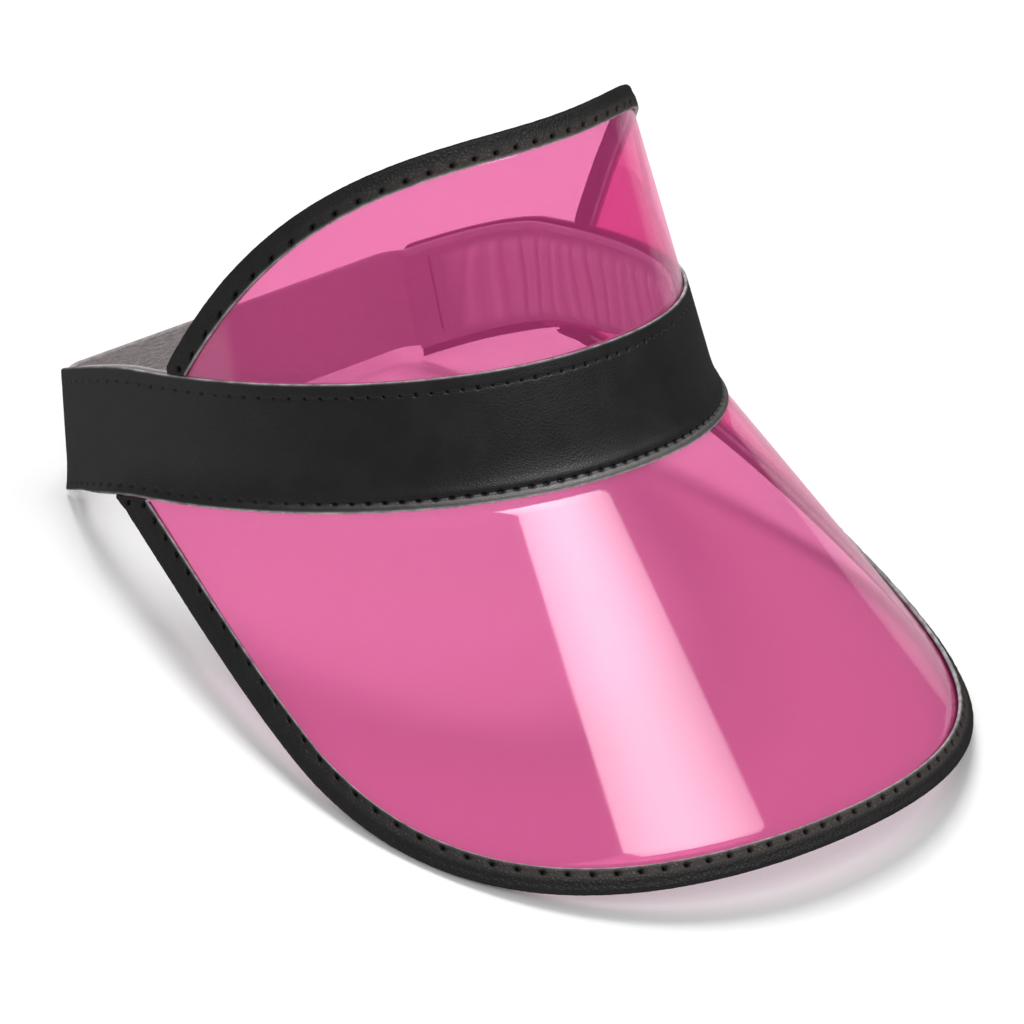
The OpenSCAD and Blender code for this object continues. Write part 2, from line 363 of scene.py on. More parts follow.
def brim_sheet():
    t = multiples(BRIM_END, SHEET_STEP)
    return sheet("brim_sheet", brim_frame, t, SEAM_ALLOWANCE, brim_edge(t))


def crown_sheet():
    t = multiples(crown_angle(BAND_ABOVE / 2), SHEET_STEP)
    return sheet("crown_sheet", crown_frame, t, SEAM_ALLOWANCE, crown_edge(t))


def cover_middle(t, s):
    """The middle of the cover's vinyl. s is the distance up the crown, or down the brim if it is below 0.
    The two parts meet in a round that starts FLARE from the seam. Behind the brim the lower part is
    shorter and runs straighter down."""
    behind = smooth((np.abs(t) - BRIM_END) / ARM_ROUND)
    s = np.where(s < 0, s * (1 - ARM_SHORTER * behind), s)
    up = np.where(s < FLARE, np.clip(s + FLARE, 0, None) ** 2 / (4 * FLARE), s)
    out = up - s
    root, crown_dir, crown_normal = crown_frame(t)
    _, brim_dir, brim_normal = brim_frame(t)
    straight = ARM_STRAIGHT * behind[..., None]
    brim_dir = unit((1 - straight) * brim_dir - straight * crown_dir)
    brim_normal = unit((1 - straight) * brim_normal + straight * crown_normal)
    share = smooth((s / FLARE + 1) / 2)[..., None]
    normal = unit(share * crown_normal + (1 - share) * brim_normal)
    foot = root + up[..., None] * crown_dir + out[..., None] * brim_dir
    return foot + (SHEET_T + GAP + COVER_T / 2) * normal


def headband_stitches():
    """Pitch of the headband's stitches as an angle, and the angles of the stitches' middles."""
    count = round(2 * STITCH_END * MM_PER_DEGREE / BAND_PITCH)
    return 2 * STITCH_END / count, np.linspace(-STITCH_END, STITCH_END, count + 1)


def headband_holes(t, s, row, long_r, wide_r, uneven):
    """Needle holes between the stitches of a row, some a little wider than others."""
    pitch, stitches = headband_stitches()
    place = t / pitch + (0.5 if len(stitches) % 2 else 0)
    number = np.round(place)
    size = 1 + uneven * np.sin(number * 2.4) * np.sin(number * 0.7)
    holes = pit((place - number) * BAND_PITCH, s - row, long_r * size, wide_r * size)
    return holes * (np.abs(t) < STITCH_END)


def cover_grid():
    """Angles and distances from the seam of the cover's points. Its ends are a little hollow, with rounded
    top corners."""
    pitch, _ = headband_stitches()
    marks = [-BAND_BELOW, BOTTOM_LINE, TOP_LINE, BAND_ABOVE]
    s = spaced(-BAND_BELOW, BAND_ABOVE, coarse=0.8, fine=0.17, marks=marks)[None]
    hollow = END_HOLLOW * (1 - ((s - 10) / 16) ** 2)
    rise = np.clip(s - (BAND_ABOVE - END_CORNER), 0, END_CORNER)
    setback = hollow + END_CORNER - np.sqrt(END_CORNER**2 - rise**2)
    t = multiples(ARM_END, pitch / 12)[:, None]
    return t - np.sign(t) * setback / MM_PER_DEGREE * np.abs(t / ARM_END) ** 60, s


def cover_relief(middle, front, from_bottom, from_top):
    """Height of the cover's outer face, without its holes: sewn in at both rows of stitches, and puffed
    beside the lower one."""
    crease = front * ridge(from_bottom, width=0.55)
    groove = front * GROOVE_DEPTH * ridge(from_top, width=0.4)
    above = 0.18 * ridge(from_bottom - 1.6, width=0.8)
    below = 0.12 * ridge(from_bottom + 1.3, width=0.7)
    puff = front * (above + below)
    ripple = 0.06 * grain(middle, size=14, seed=3)
    return puff + ripple - CREASE_DEPTH * crease - groove


def headband_cover():
    t, s = cover_grid()
    middle = cover_middle(t, s)
    edge = np.minimum(s + BAND_BELOW, BAND_ABOVE - s)
    end = from_end(t)
    half = COVER_T / 2 * rounded(edge, 0.45) * rounded(end + 0.05, 0.45)
    front = smooth((FRONT_EDGE - np.abs(t)) / FRONT_FADE)
    from_bottom = s - BOTTOM_LINE
    large = headband_holes(t, s, BOTTOM_LINE, long_r=0.7, wide_r=0.5, uneven=0.15)
    small = headband_holes(t, s, TOP_LINE, long_r=0.42, wide_r=0.36, uneven=0.3)
    depth = HOLE_SHARE + (1 - HOLE_SHARE) * front
    holes = np.maximum(large * depth, small * depth)
    lift = cover_relief(middle, front, from_bottom, s - TOP_LINE) - PIT_DEPTH * holes
    # pale cut edges: the backing's colour plus a painted highlight, weaker behind the brim
    rim = ridge(np.minimum(edge, 2), width=0.28) * (0.4 + 0.6 * smooth((BRIM_END - np.abs(t)) / 10))
    # a painted highlight along the lower side of the crease under the lower stitches
    return shell("headband_cover_vinyl", middle, half, lift, hole=holes, edge=(rim, rim),
                 worn=front * ridge(from_bottom + 0.9, width=0.35),
                 pressed=front * smooth((0.3 - from_bottom) / 0.6))


def lining_points(t, up, depth):
    return on_surface(crown_frame, t, up, -depth)


def headband_foam():
    margin = 2
    t = multiples(ARM_END - (TUCK + 1) / MM_PER_DEGREE, 0.6)[:, None]
    up = np.linspace(margin, BAND_ABOVE - margin, 30)[None]
    edge = np.minimum(up - margin, BAND_ABOVE - margin - up)
    middle = lining_points(t, up, GAP + FOAM_T / 2)
    return shell("headband_foam_strip", middle, FOAM_T / 2 * rounded(edge, 1))


def sweatband_pleats(t, up):
    """Height of the sweatband's pleats: upright folds, a little slanted, that fade out at the hems."""
    along = t * MM_PER_DEGREE
    leaning = along + 0.18 * (up - BAND_ABOVE / 2)
    where = leaning + 1.3 * np.sin(along / 9.7) + 0.8 * np.sin(along / 4.3 + up / 6)
    broad = np.abs(np.sin(where * math.pi / 5.2)) ** 0.7
    narrow = np.abs(np.sin(where * math.pi / 2.9 + 1)) ** 0.8
    fold = broad + 0.45 * narrow
    inside = smooth((BAND_ABOVE - 2.6 - up) / 3) * smooth((up - 0.8) / 3)
    ends = smooth((from_end(t) - 6) / 8)
    return fold * inside * ends


def sweatband():
    t = multiples(ARM_END, 0.28)[:, None]
    hem_line = BAND_ABOVE - HEM_W
    up = spaced(0, BAND_ABOVE, coarse=0.7, fine=0.2, marks=[0, hem_line, BAND_ABOVE])[None]
    middle = lining_points(t, up, FOAM_IN + GAP + CLOTH_T / 2)
    edge = np.minimum(up, BAND_ABOVE - up)
    end = from_end(t)
    half = CLOTH_T / 2 * rounded(edge, 0.5) * rounded(end + 0.05, 0.5)
    hem = ridge(up - hem_line, width=0.3) + ridge(end - 2.4, width=0.35)
    puff = PUFF_DEPTH * smooth((BAND_ABOVE - 2.4 - up) / 5) * smooth(up / 4) * smooth((end - 5) / 10)
    pleats = sweatband_pleats(t, up)
    seams = HEM_RELIEF * np.clip(hem, 0, 1)
    lift = -(puff + PLEAT_DEPTH * pleats) + seams + 0.05 * grain(middle, size=5, seed=11)
    along = t * MM_PER_DEGREE
    strip = smooth((up - hem_line) / 0.3)
    # fold carries the pleats' heights, which the cloth uses for painted light on their crests
    return shell("sweatband_cloth", middle, half, in_lift=lift,
                 along=(along, along), across=(up, up), strip=(strip, strip), fold=(0 * pleats, pleats))


def fold_profile(count):
    """Profile of a fold over an edge, as arrays of: share of the flap's length and angle round the rim."""
    flap = spaced(0, 1, coarse=0.12, fine=0.035, marks=[0, EDGE_ROW / BINDING_W], reach=0.1)
    arc = np.linspace(-90, 90, count)[1:-1]
    share = np.concatenate([flap, np.ones(len(arc)), flap[::-1]])
    turn = np.concatenate([np.full(len(flap), -90.0), arc, np.full(len(flap), 90.0)])
    return share[None], turn[None]


def flap_end(surface, edge_of, limit, t):
    """Where a binding's flaps end: a binding's width in from the rim, square to it, but clear of the
    headband, whose edge is at the limit."""
    rim = edge_of(t)
    before, after = [on_surface(surface, a, edge_of(a)) for a in (t - 0.1, t + 0.1)]
    tangent = unit(after - before)
    slant = np.linalg.norm(np.cross(tangent, surface(t)[1]), axis=-1)
    return np.minimum(np.maximum(rim - BINDING_W / slant, limit + GAP), rim - 0.5)


def binding_middle(surface, t, inner, from_edge, flap, turn):
    """The middle of a binding's vinyl, along its flaps and round its rim, where turn is the angle."""
    sine, cosine = np.sin(np.radians(turn)), np.cos(np.radians(turn))
    roll = smooth((from_edge - flap) / ROLL + 1) * (turn > 0)
    reach = inner + from_edge + BINDING_AWAY * cosine**RIM_SQUARENESS
    away = (BINDING_AWAY - ROLL_DROP * roll) * np.sign(sine) * np.abs(sine) ** RIM_SQUARENESS
    return on_surface(surface, t, reach, SHEET_T / 2 + away)


def binding_relief(middle, from_hole, from_edge, upper):
    """Height of a binding's outer face, without its holes: wrinkled, and drawn in round the holes."""
    pucker = ridge(from_hole, width=1.6) * ridge(from_edge - EDGE_ROW, width=1.1)
    wrinkle = 0.13 * grain(middle, size=1.7, seed=5) + 0.09 * grain(middle, size=0.8, seed=9)
    return wrinkle * (0.35 + 0.65 * upper) - PUCKER_DEPTH * pucker


def binding(name, surface, edge_of, limit, end):
    """A vinyl strip folded over a sheet's free edge, with its needle holes, puckers and rounded rim."""
    t, spacing = even_angles(surface, edge_of, end, BINDING_PITCH / 14)
    length = spacing * (len(t) - 1)
    run = np.linspace(0, length, len(t))[:, None]
    stitches = round(length / BINDING_PITCH)
    place = run / length * stitches
    t = t[:, None]
    inner = flap_end(surface, edge_of, limit, t)
    flap = np.maximum(edge_of(t) + GAP + BINDING_T / 2 - BINDING_AWAY - inner, 0.3)
    share, turn = fold_profile(15)
    if surface is crown_frame:
        share, turn = share[:, ::-1], turn[:, ::-1]
    from_edge = share * flap
    middle = binding_middle(surface, t, inner, from_edge, flap, turn)
    on_flap = np.abs(turn) > 89
    upper = smooth((flap - 1.3 - from_edge) / 0.8) * on_flap * (turn > 0)
    number = np.round(place)
    from_hole = (place - number) * BINDING_PITCH
    holes = pit(from_hole, from_edge - EDGE_ROW, long_r=0.8, wide_r=0.62) * on_flap
    holes = holes * (number > 0) * (number < stitches)
    lift = binding_relief(middle, from_hole, from_edge, upper) - PIT_DEPTH * holes
    half = BINDING_T / 2 * rounded(from_edge, 0.6)
    half = half * rounded(run + 0.1, 0.5) * rounded(length - run + 0.1, 0.5)
    # pale cut edge: the backing's colour plus a painted highlight
    rim_line = ridge(from_edge, width=0.35) * (inner > limit + GAP + 0.2)
    # painted sheen on the top flap, strongest at the front
    painted_top_sheen = upper * np.exp(-((t / 45) ** 4))
    return shell(name, middle, half, lift, hole=holes, edge=(rim_line, rim_line), top=painted_top_sheen)


def brim_binding():
    return binding("brim_binding_vinyl", *BRIM_RIM)


def crown_binding():
    return binding("crown_binding_vinyl", *CROWN_RIM)


def strap_path(up):
    """The strap's middle surface: tucked inside the left arm, bent round behind it, straight across to the
    right arm and in again. Also returns the x of the place where the straight part starts."""
    tucked = np.linspace(ARM_END - TUCK / MM_PER_DEGREE, ARM_END, 9)[:-1]
    depth = GAP + FOAM_T / 2
    inside = on_surface(crown_frame, tucked[:, None], up[None], -depth)
    start = on_surface(crown_frame, np.full((1, 1), ARM_END), up[None], -depth)
    back = on_surface(crown_frame, np.full((1, 1), ARM_END), up[None])
    back[..., 1] += COVER_OUT + STRAP_GAP + STRAP_T / 2
    heading = seam_tangent(np.array(ARM_END))
    corner = start + heading * ((back[..., 1:2] - start[..., 1:2]) / heading[1])
    corner[..., 2] = back[..., 2]
    last = corner - np.array([1, 0, 0]) * np.linalg.norm(corner - start, axis=-1, keepdims=True)
    q = np.linspace(0, 1, 12)[:, None, None]
    bend = (1 - q) ** 2 * start + 2 * q * (1 - q) * corner + q**2 * last
    across = np.linspace(0, 1, 75)[1:, None, None]
    half = last * (1 - across * np.array([1, 0, 0]))
    left = np.concatenate([inside, bend, half])
    right = left[-2::-1] * np.array([-1, 1, 1])
    return np.concatenate([left, right]), float(np.mean(last[..., 0]))


def elastic_strap():
    up = np.linspace(STRAP_MARGIN, BAND_ABOVE - STRAP_MARGIN, STRAP_RIBS * 4 + 1)
    middle, straight_x = strap_path(up)
    across = (up - up[0]) / (up[-1] - up[0])
    rib = np.abs(np.sin(across * STRAP_RIBS * math.pi)) ** 0.8
    steps = np.linalg.norm(np.diff(middle[:, len(up) // 2], axis=0), axis=-1)
    along = np.concatenate([[0], np.cumsum(steps)])[:, None] - steps.sum() / 2
    edge = np.minimum(up - up[0], up[-1] - up)
    half = (STRAP_T / 2 - 0.1) * rounded(edge, 0.7)[None] + 0 * along
    flat = np.stack(np.broadcast_arrays(along / 2, up, 0.0), -1)
    loops = 0.07 * grain(flat, size=0.9, seed=2)
    weave = (0.03 * rib[None] + loops) * rounded(edge, 0.7)[None]
    strap = shell("elastic_strap_knit", middle, half, weave, -weave,
                  along=(along, along), across=(up, up), rib=(rib, rib))
    return strap, straight_x


def threads(name, ends, normals, radius, twists=3):
    """Stitches: each a short two-ply thread between two points that dips into its holes at both ends.
    ends has two points per stitch and normals one direction."""
    q = np.linspace(-1, 1, 17)
    angle = np.linspace(0, 2 * math.pi, 11)[:-1]
    middle = ends.mean(axis=1)[:, None]
    half = (ends[:, 1] - ends[:, 0])[:, None] / 2
    dip = (np.abs(q) ** 4)[None, :, None] * 0.75
    path = middle + q[None, :, None] * half + normals[:, None] * (0.75 * radius - dip)
    side = unit(np.cross(half, normals[:, None]))
    ply = 1 + 0.16 * np.cos(2 * angle[None] + twists * math.pi * q[:, None])
    ring = radius * ply * rounded(1 - np.abs(q), 0.1)[:, None]
    points = path[:, :, None] + (ring * np.cos(angle))[None, ..., None] * normals[:, None, None]
    points = points + (ring * np.sin(angle))[None, ..., None] * side[:, :, None]
    count, rings, around = points.shape[:3]
    index = np.arange(count * rings * around).reshape(count, rings, around)
    turned = np.roll(index, -1, axis=2)
    walls = np.stack([index[:, :-1], index[:, 1:], turned[:, 1:], turned[:, :-1]], -1)
    caps = index[:, 0].tolist() + index[:, -1, ::-1].tolist()
    return add_mesh(name, points.reshape(-1, 3), walls.reshape(-1, 4).tolist() + caps, {})


def band_stitches(name, surface, line, sunk):
    """A row of the headband's stitches along a line at a distance from the seam, sunk into the cover."""
    pitch, t = headband_stitches()
    span = pitch / 2
    ends = np.stack([cover_middle(a, np.full(a.shape, line)) for a in (t - span, t + span)], axis=1)
    normals = surface(t)[2]
    return threads(name, ends + normals[:, None] * (COVER_T / 2 - sunk), normals, THREAD_R)


def band_top_stitches():
    return band_stitches("band_top_stitch_threads", crown_frame, TOP_LINE, 0.3)


def band_bottom_stitches():
    return band_stitches("band_bottom_stitch_threads", brim_frame, BOTTOM_LINE, 0.75)


def binding_stitches(name, surface, edge_of, limit, end):
    t, _ = even_angles(surface, edge_of, end, BINDING_PITCH)
    row = flap_end(surface, edge_of, limit, t) + EDGE_ROW
    points = on_surface(surface, t, row, SHEET_T + GAP + BINDING_T - BINDING_THREAD_SUNK)
    ends = np.stack([points[:-1], points[1:]], axis=1)[1:-1]
    normals = surface((t[:-1] + t[1:]) / 2)[2][1:-1]
    return threads(name, ends, normals, THREAD_R, twists=5)


def brim_binding_stitches():
    return binding_stitches("brim_binding_stitch_threads", *BRIM_RIM)


def crown_binding_stitches():
    return binding_stitches("crown_binding_stitch_threads", *CROWN_RIM)


def strap_stitches(side, name):
    """The upright row that holds one end of the strap, on the cloth side. side is 1 on the wearer's left
    and -1 on the right."""
    t = np.full(9, side * (ARM_END - STRAP_ROW / MM_PER_DEGREE))
    up = np.linspace(3, BAND_ABOVE - 3, 9)
    points = on_surface(crown_frame, t, up, -CLOTH_IN - 0.02)
    ends = np.stack([points[:-1], points[1:]], axis=1)
    return threads(name, ends, -crown_frame(t[:-1])[2], THREAD_R)


# ---- materials

CLEAR = (1, 1, 1, 1)
TINT = (0.87, 0.27, 0.49, 1)             # light that passes through a clear sheet
VEIL = (1.0, 0.06, 0.38, 1)              # light that it scatters
VEIL_SHARE = 0.33
MIRROR_STRAIGHT = 0.04                   # share that it mirrors when looked at straight
MIRROR_SLANTED = 0.42                    # what is added to that at a grazing view
MIRROR_BLUR = 0.05
BRIM_SHADOW = (0.62, 0.48, 0.54, 1)
CROWN_SHADOW = (0.93, 0.9, 0.91, 1)
BLACK = (0.011, 0.0105, 0.0115, 1)
# painted sheen on the top flaps of the bindings
TOP_SHEEN_BLACK = (0.055, 0.047, 0.044, 1)
# painted shade in the creases of the grain
GRAIN_CREASE_SHADE = (0.008, 0.008, 0.009, 1)
# painted highlight along the lower side of the headband's crease
CREASE_HIGHLIGHT_GREY = (0.09, 0.085, 0.085, 1)
# pale cut edges: the backing's colour, brightened as a painted highlight
EDGE_BACKING_AND_HIGHLIGHT = (0.55, 0.52, 0.52, 1)    # the cut edges show it
# painted shade in the needle holes
NEEDLE_HOLE_SHADE = (0.001, 0.001, 0.001, 1)
VINYL_SHEEN = (0.95, 0.92, 0.9, 1)


def add(tree, kind, settings=None, **sockets):
    """A node. settings are its properties. sockets are its inputs, by name or as _0, _1, and each is a
    value or another node's output."""
    made = tree.nodes.new(kind)
    for key, value in (settings or {}).items():
        setattr(made, key, value)
    for key, value in sockets.items():
        label = int(key[1:]) if key[0] == "_" else key.replace("_", " ")
        if isinstance(value, bpy.types.NodeSocket):
            tree.links.new(value, made.inputs[label])
        else:
            made.inputs[label].default_value = value
    return made


def maths(tree, operation, a, b=0.0, c=0.0):
    return add(tree, "ShaderNodeMath", {"operation": operation}, _0=a, _1=b, _2=c).outputs[0]


def blend_colours(tree, share, first, second):
    node = add(tree, "ShaderNodeMix", {"data_type": "RGBA"}, _0=share, _6=first, _7=second)
    return node.outputs[2]


def value_of(tree, name):
    """A piece's own per-point attribute."""
    return add(tree, "ShaderNodeAttribute", {"attribute_name": name}).outputs["Fac"]


def place_mm(tree):
    """A point's place in mm, for textures."""
    where = add(tree, "ShaderNodeTexCoord").outputs["Object"]
    return add(tree, "ShaderNodeVectorMath", {"operation": "SCALE"}, _0=where, Scale=1 / MM).outputs[0]


def strip_mm(tree):
    """A point's place along and across a strip, in mm."""
    along, across = value_of(tree, "along"), value_of(tree, "across")
    return add(tree, "ShaderNodeCombineXYZ", X=along, Y=across).outputs[0]


def noise_of(tree, where, size, detail=3.0):
    return add(tree, "ShaderNodeTexNoise", Vector=where, Scale=1 / size, Detail=detail).outputs[0]


def between_values(tree, noise_value, low, high):
    """Spreads a noise, whose values are mostly between 0.3 and 0.7, over low to high."""
    return add(tree, "ShaderNodeMapRange", Value=noise_value, From_Min=0.3, From_Max=0.7,
               To_Min=low, To_Max=high).outputs[0]


def scaled(colour, factor):
    """A colour made lighter or darker."""
    return [c * factor for c in colour[:3]] + [1]


def bumped(tree, height, strength, depth_mm):
    """The normal of a surface with a fine relief."""
    return add(tree, "ShaderNodeBump", Strength=strength, Distance=depth_mm * MM, Height=height).outputs[0]


def new_material(name):
    material = bpy.data.materials.new(name)
    material.use_nodes = True
    material.node_tree.nodes.clear()
    return material, material.node_tree


def finished(material, shader):
    add(material.node_tree, "ShaderNodeOutputMaterial", Surface=shader.outputs[0])
    return material


def leather_grain(tree, where, size):
    """Pebbles of a size in mm: 1 on them and 0 in the creases between them."""
    shift = add(tree, "ShaderNodeTexNoise", Vector=where, Scale=1 / (2 * size)).outputs[1]
    warped = add(tree, "ShaderNodeVectorMath", {"operation": "MULTIPLY_ADD"},
                 _0=shift, _1=(0.6 * size,) * 3, _2=where).outputs[0]
    cells = add(tree, "ShaderNodeTexVoronoi", {"feature": "DISTANCE_TO_EDGE"}, Vector=warped,
                Scale=1 / size).outputs["Distance"]
    return maths(tree, "MINIMUM", maths(tree, "MULTIPLY", cells, 3.0), 1.0)


def vinyl_colour(tree, where, blotch, creases, top_sheen_colour):
    """The vinyl's colour, with a painted sheen on its top, a painted highlight by the crease, pale cut
    edges brightened by a painted highlight, and painted shade in its grain's creases and needle holes.
    """
    shade = blend_colours(tree, between_values(tree, blotch, 0.0, 1.0), BLACK, scaled(BLACK, 1.35))
    # painted sheen: the top flap is given a lighter colour
    shade = blend_colours(tree, value_of(tree, "top"), shade, top_sheen_colour)
    # painted shade in the grain's creases
    shade = blend_colours(tree, creases, shade, GRAIN_CREASE_SHADE)
    patches = between_values(tree, noise_of(tree, where, size=2.5), 0.1, 0.9)
    # painted highlight along the crease
    worn = maths(tree, "MULTIPLY", value_of(tree, "worn"), patches)
    shade = blend_colours(tree, worn, shade, CREASE_HIGHLIGHT_GREY)
    # pale cut edges: backing colour plus painted highlight
    patches = between_values(tree, noise_of(tree, where, size=3.0), 0.35, 1.0)
    edge_backing_and_highlight = maths(tree, "MULTIPLY", value_of(tree, "edge"), patches)
    shade = blend_colours(tree, edge_backing_and_highlight, shade, EDGE_BACKING_AND_HIGHLIGHT)
    # painted shade darkens the needle holes
    return blend_colours(tree, value_of(tree, "hole"), shade, NEEDLE_HOLE_SHADE)


def vinyl(name, top_sheen_colour, grain_mm, roughness, shine, bump_mm):
    """Grained black vinyl: a matt body under a thin sheen, which is stronger where it is pressed."""
    material, tree = new_material(name)
    where = place_mm(tree)
    pebbles = leather_grain(tree, where, grain_mm)
    creases = maths(tree, "MULTIPLY", maths(tree, "SUBTRACT", 1.0, pebbles), 0.45)
    blotch = noise_of(tree, where, size=9.0)
    hole, pressed = value_of(tree, "hole"), value_of(tree, "pressed")
    shade = vinyl_colour(tree, where, blotch, creases, top_sheen_colour)
    rough = maths(tree, "ADD", between_values(tree, blotch, -0.05, 0.05), roughness)
    rough = maths(tree, "MULTIPLY_ADD", creases, 0.3, rough)
    rough = maths(tree, "MULTIPLY_ADD", pressed, 0.12, rough)
    rough = maths(tree, "MULTIPLY_ADD", hole, 0.5, rough)
    height = maths(tree, "MULTIPLY_ADD", noise_of(tree, where, size=0.25, detail=2.0), 0.25, pebbles)
    bump = bumped(tree, height, strength=0.6, depth_mm=bump_mm)
    matt = add(tree, "ShaderNodeBsdfPrincipled", Base_Color=shade, Roughness=0.9, Normal=bump,
               Specular_IOR_Level=0.0)
    sheen = add(tree, "ShaderNodeBsdfAnisotropic", Color=VINYL_SHEEN, Roughness=rough, Normal=bump)
    facing = add(tree, "ShaderNodeLayerWeight", Blend=0.3, Normal=bump).outputs["Facing"]
    share = maths(tree, "MULTIPLY_ADD", maths(tree, "POWER", facing, 4.0), 0.02, shine)
    share = maths(tree, "MULTIPLY_ADD", pressed, 0.07, share)
    share = maths(tree, "MULTIPLY", share, maths(tree, "SUBTRACT", 1.0, hole))
    shader = add(tree, "ShaderNodeMixShader", _0=share, _1=matt.outputs[0], _2=sheen.outputs[0])
    return finished(material, shader)


def sheet_body(tree, where, outside):
    """What is seen through a clear sheet: light that takes its tint, and the share that it scatters.
    outside is 1 on the sheet's outer face and 0 on its inner one, which adds nothing."""
    through = add(tree, "ShaderNodeBsdfTransparent", Color=blend_colours(tree, outside, CLEAR, TINT))
    scatter = add(tree, "ShaderNodeBsdfPrincipled", Base_Color=VEIL, Roughness=0.9, Specular_IOR_Level=0.0)
    glow = add(tree, "ShaderNodeBsdfTranslucent", Color=VEIL)
    milk = add(tree, "ShaderNodeMixShader", _0=0.5, _1=scatter.outputs[0], _2=glow.outputs[0])
    cloud = between_values(tree, noise_of(tree, where, size=30.0), 0.97, 1.03)
    share = maths(tree, "MULTIPLY", maths(tree, "MULTIPLY", outside, VEIL_SHARE), cloud)
    body = add(tree, "ShaderNodeMixShader", _0=share, _1=through.outputs[0], _2=milk.outputs[0])
    return body.outputs[0]


def clear_sheet(name, shadow):
    """Tinted clear PVC. It mirrors more at a slant, and faint scuffs vary the mirror. Only the camera sees
    this: to other rays the sheet is clear and has the colour of its shadow."""
    material, tree = new_material(name)
    where = place_mm(tree)
    outside = value_of(tree, "outside")
    body = sheet_body(tree, where, outside)
    scuffs = noise_of(tree, where, size=12.0, detail=6.0)
    haze = between_values(tree, scuffs, 0.8 * MIRROR_BLUR, 1.2 * MIRROR_BLUR)
    mirror = add(tree, "ShaderNodeBsdfAnisotropic", Color=CLEAR, Roughness=haze)
    facing = add(tree, "ShaderNodeLayerWeight", Blend=0.5).outputs["Facing"]
    slanted = maths(tree, "POWER", facing, 5.0)
    mirrored = maths(tree, "MULTIPLY_ADD", slanted, MIRROR_SLANTED, MIRROR_STRAIGHT)
    seen = add(tree, "ShaderNodeMixShader", _0=mirrored, _1=body, _2=mirror.outputs[0])
    dimmed = add(tree, "ShaderNodeBsdfTransparent", Color=blend_colours(tree, outside, CLEAR, shadow))
    looked_at = add(tree, "ShaderNodeLightPath").outputs["Is Camera Ray"]
    shader = add(tree, "ShaderNodeMixShader", _0=looked_at, _1=dimmed.outputs[0], _2=seen.outputs[0])
    return finished(material, shader)


def cloth(name, colour, strip_colour):
    """Brushed cloth with a fine weave, paler on the folded strip along its top, with painted light on pleat
    crests.
    """
    material, tree = new_material(name)
    where = strip_mm(tree)
    turned = add(tree, "ShaderNodeVectorRotate", {"rotation_type": "Z_AXIS"}, Vector=where,
                 Angle=math.radians(45)).outputs[0]
    warp, weft = [add(tree, "ShaderNodeTexWave", {"bands_direction": way}, Vector=turned, Scale=1.1,
                      Distortion=0.4).outputs[1] for way in "XY"]
    weave = maths(tree, "MULTIPLY", warp, weft)
    fuzz = noise_of(tree, place_mm(tree), size=0.35, detail=4.0)
    stain = noise_of(tree, where, size=7.0)
    shade = blend_colours(tree, value_of(tree, "strip"), colour, strip_colour)
    shade = blend_colours(tree, between_values(tree, stain, 0.0, 0.5), shade, scaled(colour, 1.5))
    shade = blend_colours(tree, between_values(tree, fuzz, 0.0, 0.5), shade, scaled(colour, 0.45))
    # painted light: the crests of the pleats are coloured lighter
    crest = maths(tree, "MULTIPLY", value_of(tree, "fold"), 0.5)
    shade = blend_colours(tree, crest, shade, scaled(colour, 2.5))
    height = maths(tree, "ADD", weave, fuzz)
    bump = bumped(tree, height, strength=0.5, depth_mm=0.25)
    shader = add(tree, "ShaderNodeBsdfPrincipled", Base_Color=shade, Roughness=0.9, Normal=bump,
                 Specular_IOR_Level=0.2, Sheen_Weight=0.4, Sheen_Roughness=0.4)
    return finished(material, shader)


def knit(name, colour):
    """Knitted elastic: small loops along each rib, speckled yarn, and painted shade in the furrows between
    ribs.
    """
    material, tree = new_material(name)
    where = strip_mm(tree)
    loops = add(tree, "ShaderNodeTexWave", {"bands_direction": "DIAGONAL"}, Vector=where, Scale=0.8,
                Distortion=1.2, Detail_Scale=2.0).outputs[1]
    yarn = noise_of(tree, where, size=0.45, detail=4.0)
    stretched = add(tree, "ShaderNodeVectorMath", {"operation": "MULTIPLY"}, _0=where,
                    _1=(0.25, 1.6, 1)).outputs[0]
    streak = noise_of(tree, stretched, size=0.8, detail=3.0)
    shade = blend_colours(tree, between_values(tree, streak, 0.0, 1.0), colour, scaled(colour, 1.9))
    shade = blend_colours(tree, between_values(tree, yarn, 0.0, 0.6), shade, scaled(colour, 0.5))
    # painted shade in the furrows between the ribs
    furrow_shade = maths(tree, "MULTIPLY", maths(tree, "SUBTRACT", 1.0, value_of(tree, "rib")), 0.1)
    shade = blend_colours(tree, furrow_shade, shade, scaled(colour, 0.4))
    height = maths(tree, "ADD", maths(tree, "MULTIPLY", loops, 0.7), yarn)
    bump = bumped(tree, height, strength=0.6, depth_mm=0.2)
    shader = add(tree, "ShaderNodeBsdfPrincipled", Base_Color=shade, Roughness=0.85, Normal=bump,
                 Specular_IOR_Level=0.2, Sheen_Weight=0.3)
    return finished(material, shader)


def thread(name, colour):
    """Twisted sewing thread with paler fibres here and there."""
    material, tree = new_material(name)
    where = place_mm(tree)
    fibres = noise_of(tree, where, size=0.12, detail=3.0)
    shade = blend_colours(tree, between_values(tree, fibres, 0.0, 1.0), colour, scaled(colour, 2.2))
    bump = bumped(tree, fibres, strength=0.5, depth_mm=0.06)
    shader = add(tree, "ShaderNodeBsdfPrincipled", Base_Color=shade, Roughness=0.75, Normal=bump,
                 Specular_IOR_Level=0.15)
    return finished(material, shader)


